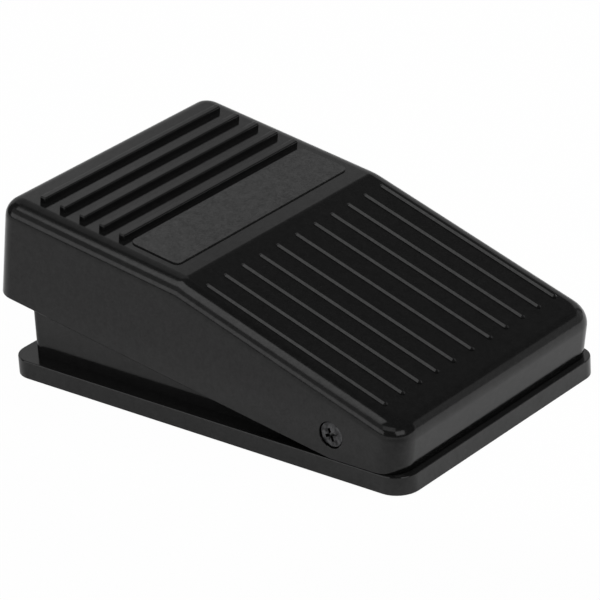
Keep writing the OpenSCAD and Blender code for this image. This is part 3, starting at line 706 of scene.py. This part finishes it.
@dataclass
class PedalHood:
    """The hollow pedal: shell, inner posts and pivot bosses."""

    front_corner_r: float = 5.6
    rear_corner_r: float = 4.35
    side_r: float = 4.2
    nose_r: float = 3.1
    rear_r: float = 3.5
    crest_bevel: float = 0.5
    hole_r: float = 2.9
    hole_reach: float = 60.0
    # Near and far end along X, bore and outer radius
    boss: tuple[float, float, float, float] = (30.4, 32.1, 2.85, 4.8)
    # Half width, height and corner radius
    notch: tuple[float, float, float] = (6.0, 9.8, 1.5)
    notch_reach: float = 4.0
    soft_edge: float = 0.14
    inner_bevel: float = 0.2
    facets: int = 8
    posts: tuple[Post, ...] = (Post(0.0, 22.55, 25.0, 6.0), Post(0.0, -26.2, 16.1, 3.0),
                               Post(16.0, 39.05, 21.735, 3.0), Post(-16.0, 39.05, 21.735, 3.0))

    def build(self) -> Piece:
        """Builds the hood and returns it."""
        shell = make_object(self._outer(), "pedal_shell")
        rim = shell.modifiers.new("rim", "BEVEL")
        rim.width = self.side_r * MM
        rim.segments = self.facets
        rim.limit_method = "WEIGHT"
        rim.use_clamp_overlap = False
        wall = shell.modifiers.new("wall", "SOLIDIFY")
        wall.thickness = PLANES.wall * MM
        wall.offset = -1.0
        wall.use_even_offset = True
        apply_modifiers(shell)
        far = self.hole_reach
        bore = turned([(0, -far), (self.hole_r, -far), (self.hole_r, far), (0, far)])
        bore.transform(along_pivot(1))
        cut_away(shell, bore)
        cut_away(shell, self._notch_form())
        soften(shell, self.soft_edge, angle=50.0)
        bm = bmesh.new()
        bm.from_mesh(shell.data)
        self._add_posts(bm)
        self._add_bosses(bm)
        bm.to_mesh(shell.data)
        bm.free()
        return shell

    def _outer(self) -> Mesh:
        """Returns the open outer skin, rounded at its corners, with a weight on each edge of its rim."""
        p = PLANES
        side = [(p.front_y, p.skirt_z), p.nose, (p.crest_y, p.crest_z), p.rear_top,
                (p.rear_y, p.skirt_rear_z), (p.kink_y, p.skirt_z)]
        bm = bmesh.new()
        outline = bm.faces.new([bm.verts.new((-p.half_width * MM, y * MM, z * MM)) for y, z in side])
        grown = bmesh.ops.extrude_face_region(bm, geom=[outline], use_keep_orig=True)["geom"]
        moved = [v for v in grown if isinstance(v, Vert)]
        bmesh.ops.translate(bm, vec=(2 * p.half_width * MM, 0, 0), verts=moved)
        bmesh.ops.recalc_face_normals(bm, faces=bm.faces)
        floor = [f for f in bm.faces if f.normal.z < -0.5]
        bmesh.ops.delete(bm, geom=floor, context="FACES_ONLY")
        round_edges(bm, level_edges(bm, p.crest_z), self.crest_bevel, 3)
        corners = [e for e in bm.edges if abs(self._run(e).z) > 2 * self._run(e).xy.length]
        rear = [e for e in corners if e.verts[0].co.y > 0]
        front = [e for e in corners if e.verts[0].co.y < 0]
        round_edges(bm, rear, self.rear_corner_r, self.facets)
        round_edges(bm, front, self.front_corner_r, self.facets)
        bm.normal_update()
        self._weigh_rim(bm)
        return bm

    def _weigh_rim(self, bm: Mesh) -> None:
        """Gives each edge of the upper rim its share of the widest rounding, the one at the sides."""
        layer = bm.edges.layers.float.new("bevel_weight_edge")
        for edge in bm.edges:
            faces = sorted(edge.link_faces, key=lambda f: f.normal.z)
            if len(faces) == 2 and faces[0].normal.z < 0.5 < faces[1].normal.z:
                end = self.nose_r if edge.verts[0].co.y < 0 else self.rear_r
                edge[layer] = (end + (self.side_r - end) * abs(faces[0].normal.x)) / self.side_r

    @staticmethod
    def _run(edge: Edge) -> Vector:
        """Returns the way along an edge."""
        return edge.verts[1].co - edge.verts[0].co

    def _notch_form(self) -> Mesh:
        """Returns the shape cut out of the rear wall above the cord inlet."""
        half, height, radius = self.notch
        bm = bmesh.new()
        high = Vector((half, self.notch_reach, height))
        add_block(bm, -high, high)
        round_edges(bm, level_edges(bm, height), radius, 5)
        bm.transform(place(0, PLANES.rear_y, PLANES.skirt_rear_z) @ turn_x(PLANES.skirt_rise))
        return bm

    def _add_posts(self, bm: Mesh) -> None:
        """Adds the posts that press the spring, the switch and the bump stops."""
        for post in self.posts:
            r, low, bevel = post.radius, post.low_z, self.inner_bevel
            top = PLANES.ceiling(post.y - r) + PLANES.wall / 2
            body = turned([(0, low), (r - bevel, low), (r, low + bevel), (r, top), (0, top)], steps=36)
            join_into(bm, body, place(post.x, post.y, 0))

    def _add_bosses(self, bm: Mesh) -> None:
        """Adds the rings that hold the pivot bushes."""
        near, far, bore, outer = self.boss
        for side in (-1, 1):
            ring = turned([(bore, near), (outer - self.inner_bevel, near), (outer, near + self.inner_bevel),
                           (outer, far), (bore, far), (bore, near)], steps=40)
            join_into(bm, ring, along_pivot(side))


@dataclass
class TreadRibs:
    """Raised ribs: rounded ones across the rear top, roof-shaped ones down the slope."""

    sunk: float = 0.5
    cross_count: int = 5
    cross_half: float = 28.6
    cross_thick: float = 1.5
    cross_height: float = 1.3
    cross_pitch: float = 5.4
    cross_in: float = 12.0
    cross_end_r: float = 0.3
    cross_top_r: float = 0.7
    long_beside: int = 5
    long_first: float = 6.2
    long_pitch: float = 5.65
    long_half: float = 0.62
    long_end_r: float = 0.59
    long_top_r: float = 0.54
    long_squash: float = 0.85
    long_start: float = 4.0
    long_end: float = 5.55

    def build(self) -> Piece:
        """Builds all ribs and returns them as one object."""
        bm = bmesh.new()
        p = PLANES
        last = (p.rear_y - self.cross_in - p.crest_y) / math.cos(math.radians(p.rear_rise))
        reach = Vector((self.cross_half, self.cross_thick / 2, self.cross_height))
        for i in range(self.cross_count):
            bar = self._bar(reach, self.cross_end_r, self.cross_top_r, 6)
            join_into(bm, bar, p.on_rear_top(last - i * self.cross_pitch + self.cross_thick / 2))
        run = p.crest_y - p.front_y - self.long_end
        length = run / math.cos(math.radians(p.slope_fall)) - self.long_start
        reach = Vector((self.long_half, length / 2, self.long_half))
        for i in range(-self.long_beside, self.long_beside + 1):
            x = math.copysign(self.long_first + (abs(i) - 1) * self.long_pitch, i) if i else 0.0
            bar = self._bar(reach, self.long_end_r, self.long_top_r, 1)
            bar.transform(Matrix.Diagonal((1.0, 1.0, self.long_squash, 1.0)))
            join_into(bm, bar, p.on_slope(self.long_start + length / 2) @ place(x, 0, 0))
        obj = make_object(bm, "tread_ribs")
        soften(obj, 0)
        return obj

    def _bar(self, reach: Vector, end_r: float, top_r: float, segments: int) -> Mesh:
        """Makes one rib.

        Args:
            reach: Half its size along X and along Y, and its height.
            end_r: Rounding of its ends.
            top_r: Rounding of its upper edges.
            segments: Number of facets across that rounding.

        Returns:
            The rib, sunk a little below Z = 0.
        """
        bm = bmesh.new()
        add_block(bm, Vector((-reach.x, -reach.y, -self.sunk)), reach)
        round_edges(bm, upright_edges(bm), end_r, 6)
        round_edges(bm, level_edges(bm, reach.z), top_r, segments)
        bmesh.ops.remove_doubles(bm, verts=bm.verts, dist=3 * CLOSE)
        bmesh.ops.dissolve_degenerate(bm, dist=CLOSE, edges=bm.edges)
        return bm


@dataclass
class LabelPlate:
    """The thin raised plate behind the crest, left bare."""

    half_length: float = 28.2
    width: float = 12.9
    thick: float = 0.3
    sunk: float = 0.05
    corner_r: float = 1.5
    edge_r: float = 0.06
    start: float = 4.4

    def build(self) -> Piece:
        """Builds the plate and returns it."""
        bm = bmesh.new()
        add_block(bm, Vector((-self.half_length, 0, -self.sunk)),
                  Vector((self.half_length, self.width, self.thick)))
        round_edges(bm, upright_edges(bm), self.corner_r, 6)
        round_edges(bm, level_edges(bm, self.thick), self.edge_r, 2)
        bm.transform(PLANES.on_rear_top(self.start))
        obj = make_object(bm, "label_face")
        soften(obj, 0)
        return obj


@dataclass
class PivotScrews:
    """Two black shoulder screws with domed heads and cross recesses."""

    face_x: float = 33.85
    seat_x: float = 32.0
    ear_x: float = 30.1
    tip_x: float = 25.1
    head_r: float = 2.78
    head_edge: float = 0.1
    dome: float = 0.22
    dome_share: float = 0.97
    dome_turn: float = 1.2
    dome_facets: int = 6
    shoulder_r: float = 2.0
    thread_r: float = 1.5
    tip_bevel: tuple[float, float] = (0.4, 0.5)
    # Reach, half width and depth of a slot
    recess: tuple[float, float, float] = (1.5, 0.32, 0.7)
    recess_turn: float = 20.0
    soft_edge: float = 0.05

    def build(self) -> Piece:
        """Builds both screws and returns them as one object."""
        tip_in, tip_long = self.tip_bevel
        profile = [(0, self.tip_x), (self.thread_r - tip_in, self.tip_x),
                   (self.thread_r, self.tip_x + tip_long), (self.thread_r, self.ear_x),
                   (self.shoulder_r, self.ear_x), (self.shoulder_r, self.seat_x), (self.head_r, self.seat_x),
                   (self.head_r, self.face_x - self.dome - self.head_edge), *self._dome_arc()]
        screw = make_object(turned(profile, steps=56), "pivot_heads")
        for turn in (self.recess_turn, self.recess_turn + 90):
            cut_away(screw, self._slot(turn))
        soften(screw, self.soft_edge, angle=35.0)
        bm = bmesh.new()
        half = bmesh.new()
        half.from_mesh(screw.data)
        other = half.copy()
        join_into(bm, half, along_pivot(1))
        join_into(bm, other, along_pivot(-1))
        bm.to_mesh(screw.data)
        bm.free()
        return screw

    def _dome_arc(self) -> list[tuple[float, float]]:
        """Returns the half section of the head's dome, from its edge to its middle."""
        widest = self.head_r * self.dome_share / math.sin(self.dome_turn)
        deepest = self.dome / (1 - math.cos(self.dome_turn))
        turns = [self.dome_turn * i / self.dome_facets for i in range(self.dome_facets, -1, -1)]
        return [(widest * math.sin(turn), self.face_x - deepest * (1 - math.cos(turn))) for turn in turns]

    def _slot(self, turn: float) -> Mesh:
        """Returns one slot of the cross, turned by some degrees about the head."""
        reach, half, deep = self.recess
        bm = bmesh.new()
        add_block(bm, Vector((-reach, -half, self.face_x - deep)), Vector((reach, half, self.face_x + 1)))
        bm.transform(Matrix.Rotation(math.radians(turn), 4, "Z"))
        return bm


@dataclass
class BaseTray:
    """The base, copied from its solid, with its outer edges rounded a little."""

    flange_z: float = 4.6
    lip: float = 0.22
    # Half width and half length of the field that the walls stand in
    walls: tuple[float, float] = (30.5, 48.0)
    flat_angle: float = 0.5
    # Z of a normal, above which a face counts as level and below which as upright
    level_above: float = 0.99
    upright_below: float = 0.1
    height_slack: float = 0.01

    def build(self, solid: Piece) -> Piece:
        """Builds the base.

        Args:
            solid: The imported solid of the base.

        Returns:
            The dressed copy.
        """
        bm = bmesh.new()
        bm.from_mesh(solid.data)
        bmesh.ops.remove_doubles(bm, verts=bm.verts, dist=2 * CLOSE)
        bmesh.ops.dissolve_limit(bm, angle_limit=math.radians(self.flat_angle), verts=bm.verts,
                                 edges=bm.edges)
        round_edges(bm, self._rims(bm), self.lip, 2)
        obj = make_object(bm, "base_shell")
        soften(obj, 0, angle=20.0)
        return obj

    def _rims(self, bm: Mesh) -> list[Edge]:
        """Returns the flange's upper edges that lie outside the walls."""
        wall_x, wall_y = self.walls
        found = []
        for edge in bm.edges:
            if len(edge.link_faces) != 2:
                continue
            side, flat = sorted(edge.link_faces, key=lambda f: abs(f.normal.z))
            if abs(flat.normal.z) < self.level_above or abs(side.normal.z) > self.upright_below:
                continue
            middle = (edge.verts[0].co + edge.verts[1].co) / (2 * MM)
            outside = abs(middle.x) > wall_x or abs(middle.y) > wall_y
            falls_away = side.calc_center_median().z < middle.z * MM
            if outside and falls_away and abs(middle.z - self.flange_z) < self.height_slack:
                found.append(edge)
        return found


@dataclass
class RubberFeet:
    """Four round feet, dished underneath, in pockets of the flange."""

    radius: float = 5.5
    height: float = 1.5
    # Lower section from the dish out to the side, as distance in from the radius and height
    section: tuple[tuple[float, float], ...] = ((1.8, 0.12), (1.4, 0.0), (0.35, 0.0), (0.1, 0.1), (0.0, 0.35))
    places: tuple[tuple[float, float], ...] = ((25.0, -44.75), (25.0, 42.55), (-25.0, -44.75), (-25.0, 42.55))

    def build(self) -> Piece:
        """Builds the feet and returns them as one object."""
        r, h = self.radius, self.height
        lower = [(r - inward, z) for inward, z in self.section]
        profile = [(0, lower[0][1]), *lower, (r, h), (0, h)]
        bm = bmesh.new()
        for x, y in self.places:
            join_into(bm, turned(profile, steps=40), place(x, y, 0))
        obj = make_object(bm, "foot_pads")
        soften(obj, 0, angle=35.0)
        return obj


@dataclass
class ReturnSpring:
    """The coil spring, with closed end turns."""

    place_y: float = 22.55
    radius: float = 7.0
    wire_r: float = 0.7
    low_z: float = 5.05
    high_z: float = 23.95
    turns: int = 5
    end_rise: float = 1.12
    steps: int = 36
    keep: float = 0.455

    def build(self) -> Piece:
        """Builds the spring and returns it."""
        bm = bmesh.new()
        start = place(self.radius, self.place_y, self.low_z + self.wire_r) @ turn_x(90)
        ring = bmesh.ops.create_circle(bm, cap_ends=False, segments=14, radius=self.wire_r * MM,
                                       matrix=start)["verts"]
        end = self.end_rise * 2 * self.wire_r
        middle = self.high_z - self.low_z - 2 * self.wire_r - 2 * end
        geom: list[object] = [*ring, *{e for v in ring for e in v.link_edges}]
        first = [g for g in geom if isinstance(g, Edge)]
        for count, rise in ((1, end), (self.turns - 2, middle), (1, end)):
            steps = count * self.steps
            geom = bmesh.ops.spin(bm, geom=geom, cent=(0, self.place_y * MM, 0), axis=(0, 0, 1),
                                  dvec=(0, 0, rise * MM / steps), angle=count * math.tau,
                                  steps=steps)["geom_last"]
        bmesh.ops.contextual_create(bm, geom=first)
        bmesh.ops.contextual_create(bm, geom=[g for g in geom if isinstance(g, Edge)])
        bmesh.ops.recalc_face_normals(bm, faces=bm.faces)
        obj = make_object(bm, "spring_coil")
        soften(obj, 0, angle=50.0)
        return obj


@dataclass
class PhotoCamera:
    """The camera, fitted to the photograph, in millimetres and degrees."""

    azimuth: float = 49.758
    elevation: float = 25.492
    roll: float = -3.65
    distance: float = 833.805
    target: tuple[float, float, float] = (-1.164, -2.61, 18.0)
    lens: float = 240.0
    sensor: float = 36.0
    nearest: float = 10.0

    def build(self) -> None:
        """Adds the camera and makes it the scene's own."""
        az, el, roll = (math.radians(a) for a in (self.azimuth, self.elevation, self.roll))
        back = Vector((-math.sin(az) * math.cos(el), -math.cos(az) * math.cos(el), math.sin(el)))
        level = Vector((math.cos(az), -math.sin(az), 0.0))
        right = level * math.cos(roll) + back.cross(level) * math.sin(roll)
        up = back.cross(right)
        data = bpy.data.cameras.new("camera")
        data.sensor_width = self.sensor
        data.lens = self.lens
        data.clip_start = self.nearest * MM
        camera = bpy.data.objects.new("camera", data)
        eye = Vector(self.target) + back * self.distance
        camera.matrix_world = place(*eye) @ Matrix((right, up, back)).transposed().to_4x4()
        bpy.context.scene.collection.objects.link(camera)
        bpy.context.scene.camera = camera


@dataclass(frozen=True)
class Lamp:
    """A soft panel of light that faces the pedal, in metres and degrees; gloss shows it if mirrored."""

    name: str
    azimuth: float
    elevation: float
    distance: float
    width: float
    height: float
    glow: float
    mirrored: bool = True
    aim_z: float = 0.02

    def build(self) -> None:
        """Adds the panel."""
        az, el = math.radians(self.azimuth), math.radians(self.elevation)
        away = Vector((math.cos(az) * math.cos(el), math.sin(az) * math.cos(el), math.sin(el)))
        data = bpy.data.lights.new(self.name, "AREA")
        data.shape = "RECTANGLE"
        data.size = self.width
        data.size_y = self.height
        data.energy = self.glow * math.pi * self.width * self.height
        lamp = bpy.data.objects.new(self.name, data)
        spot = away * self.distance + Vector((0, 0, self.aim_z))
        lamp.matrix_world = Matrix.Translation(spot) @ away.to_track_quat("Z", "Y").to_matrix().to_4x4()
        lamp.visible_camera = False
        lamp.visible_glossy = self.mirrored
        bpy.context.scene.collection.objects.link(lamp)


@dataclass
class Studio:
    """White floor, dim room and soft panels, in metres."""

    lamps: tuple[Lamp, ...] = (
        Lamp("backdrop_panel", 42.0, 15.5, 1.6, 2.6, 1.3, 0.34),
        Lamp("rear_panel", 60.0, 50.0, 1.5, 1.1, 0.8, 0.2),
        Lamp("overhead_panel", 150.0, 62.0, 1.2, 0.6, 0.68, 1.15),
        Lamp("left_panel", 155.0, 14.0, 1.5, 1.6, 0.5, 0.95),
        Lamp("side_fill", 150.0, 35.0, 1.5, 1.6, 0.62, 0.2),
        Lamp("right_panel", -28.0, 12.0, 1.5, 1.2, 0.8, 0.27),
        Lamp("front_panel", -112.0, 20.0, 1.5, 0.85, 0.5, 1.1),
        Lamp("corner_panel", -152.0, 40.0, 1.5, 1.15, 0.5, 0.55),
        Lamp("key_panel", -75.0, 62.0, 1.5, 1.3, 0.9, 3.9, mirrored=False))
    room: float = 0.085
    floor_half: float = 20.0
    # Places along X and the floor's grey there, painted shade and light for the pedal's gloss to mirror, then
    # a spot of painted shadow on it
    floor_painted_shade: tuple[tuple[float, float], ...] = (
        (-0.064, 0.52), (-0.051, 0.66), (-0.042, 0.6), (-0.023, 0.9))
    painted_shadow_spot: tuple[float, float, float] = (-0.065, -0.09, 0.0)
    painted_shadow_reach: tuple[float, float] = (0.02, 0.05)
    painted_shadow_tone: float = 0.45
    camera_white: float = 0.985
    glossy_white: float = 0.2

    def build(self) -> None:
        """Adds floor, room light and panels."""
        bpy.context.scene.view_settings.view_transform = "Standard"
        self._floor()
        self._room()
        for lamp in self.lamps:
            lamp.build()

    def _floor(self) -> None:
        """Adds the floor, which the camera sees as white and the pedal's gloss as soft greys of painted shade
        and light.
        """
        bm = bmesh.new()
        bmesh.ops.create_grid(bm, x_segments=1, y_segments=1, size=self.floor_half)
        floor = make_object(bm, "floor")
        paint = bpy.data.materials.new("floor_white_painted_shade")
        paint.use_nodes = True
        bench = ShaderBench(paint.node_tree)
        shader = paint.node_tree.nodes["Principled BSDF"]
        coords = bench.node("ShaderNodeTexCoord").outputs["Object"]
        split = bench.node("ShaderNodeSeparateXYZ")
        bench.link(coords, split.inputs[0])
        away = bench.node("ShaderNodeVectorMath", operation="DISTANCE")
        bench.link(coords, away.inputs[0])
        away.inputs[1].default_value = self.painted_shadow_spot
        # Painted shade: the greys along X times the painted shadow spot, which the camera barely sees and the
        # gloss mirrors
        tone = bench.math("MULTIPLY", bench.ramp(split.outputs["X"], self.floor_painted_shade),
                          bench.spread(away.outputs["Value"], self.painted_shadow_tone, 1.0, self.painted_shadow_reach))
        bench.link(tone, shader.inputs["Base Color"])
        shader.inputs["Roughness"].default_value = 0.9
        shader.inputs["Specular IOR Level"].default_value = 0.0
        path = bench.node("ShaderNodeLightPath")
        mirrored = bench.math("ADD", path.outputs["Is Glossy Ray"], path.outputs["Is Transmission Ray"])
        seen = bench.math("MULTIPLY", path.outputs["Is Camera Ray"], self.camera_white)
        gloss = bench.math("MULTIPLY", bench.math("MINIMUM", mirrored, 1.0), self.glossy_white)
        share = bench.math("MAXIMUM", seen, gloss)
        glow = bench.node("ShaderNodeEmission")
        glow.inputs["Color"].default_value = (1.0, 1.0, 1.0, 1.0)
        glow.inputs["Strength"].default_value = 1.0
        mix = bench.node("ShaderNodeMixShader")
        bench.link(share, mix.inputs[0])
        bench.link(shader.outputs[0], mix.inputs[1])
        bench.link(glow.outputs[0], mix.inputs[2])
        bench.link(mix.outputs[0], paint.node_tree.nodes["Material Output"].inputs["Surface"])
        floor.data.materials.append(paint)

    def _room(self) -> None:
        """Sets the room: dim, and white where the camera looks past the floor."""
        world = bpy.data.worlds.new("room")
        bpy.context.scene.world = world
        world.use_nodes = True
        bench = ShaderBench(world.node_tree)
        background = world.node_tree.nodes["Background"]
        path = bench.node("ShaderNodeLightPath")
        strength = bench.math("MAXIMUM", path.outputs["Is Camera Ray"], self.room)
        bench.link(strength, background.inputs["Strength"])
        background.inputs["Color"].default_value = (1.0, 1.0, 1.0, 1.0)


@dataclass
class FootPedal:
    """The whole pedal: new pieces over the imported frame, and finishes for the solids that stay."""

    nodes: dict[str, Piece]
    solids: tuple[tuple[Finish, tuple[str, ...]], ...] = (
        (BASE_PLASTIC_PAINTED_FILL, ("cord_clamp",)),
        (RUBBER, ("bump_stops", "cord_grommet")),
        (ZINC_STEEL, ("ballast_screws", "board_screws", "clamp_screws", "crystal_can")),
        (BALLAST_STEEL, ("ballast_plate",)),
        (BRASS, ("pivot_inserts", "header_pins", "switch_terminals")),
        (LAMINATE, ("circuit_board",)),
        (CHIP, ("controller_chip", "switch_body")),
        (CERAMIC, ("board_parts",)),
        (NYLON, ("pivot_bushes", "spring_seat", "spring_cap", "actuator_pad", "cord_header")),
        (RED_PLASTIC, ("switch_plunger",)))

    def build(self) -> None:
        """Builds and dresses every piece."""
        self._add(PedalHood().build(), HOOD_PLASTIC, Body.PEDAL, "pedal_plastic", "pedal_hood")
        self._add(TreadRibs().build(), HOOD_PLASTIC, Body.PEDAL, "pedal_plastic", "pedal_hood")
        self._add(LabelPlate().build(), LABEL_PLASTIC, Body.PEDAL, "label_plastic", "label_plate")
        self._add(PivotScrews().build(), BLACK_STEEL, Body.BASE, "black_steel", "pivot_screws")
        tray = BaseTray().build(self.nodes["base_tray"])
        self._add(tray, BASE_PLASTIC_PAINTED_FILL, Body.BASE, "base_plastic", "base_tray")
        self._add(RubberFeet().build(), RUBBER, Body.BASE, "soft_rubber", "rubber_feet")
        spring = ReturnSpring()
        coil = spring.build()
        self._add(coil, SPRING_STEEL, Body.BASE, "spring_steel", "return_spring")
        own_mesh(coil)
        for finish, names in self.solids:
            for name in names:
                finish.dress(self.nodes[name])
                LOG.info("%s wears %s", name, finish.name)

    @staticmethod
    def _add(obj: Piece, finish: Finish, body: Body, slot: str, node: str) -> None:
        """Dresses a new piece and ties it to the frame.

        Args:
            obj: The piece.
            finish: Its finish.
            body: The body that it rides on.
            slot: The record's material slot for it; not used.
            node: The solid that it stands for.
        """
        finish.dress(obj)
        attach(obj, body.value)
        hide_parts(node)
        LOG.info("%s: %d faces, stands for %s", obj.name, len(obj.data.polygons), node)


def main() -> None:
    """Builds the pedal and the studio."""
    logging.basicConfig(level=logging.INFO, format="%(name)s: %(message)s")
    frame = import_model()
    FootPedal(frame["nodes"]).build()
    PhotoCamera().build()
    Studio().build()


if __name__ == "__main__":
    main()
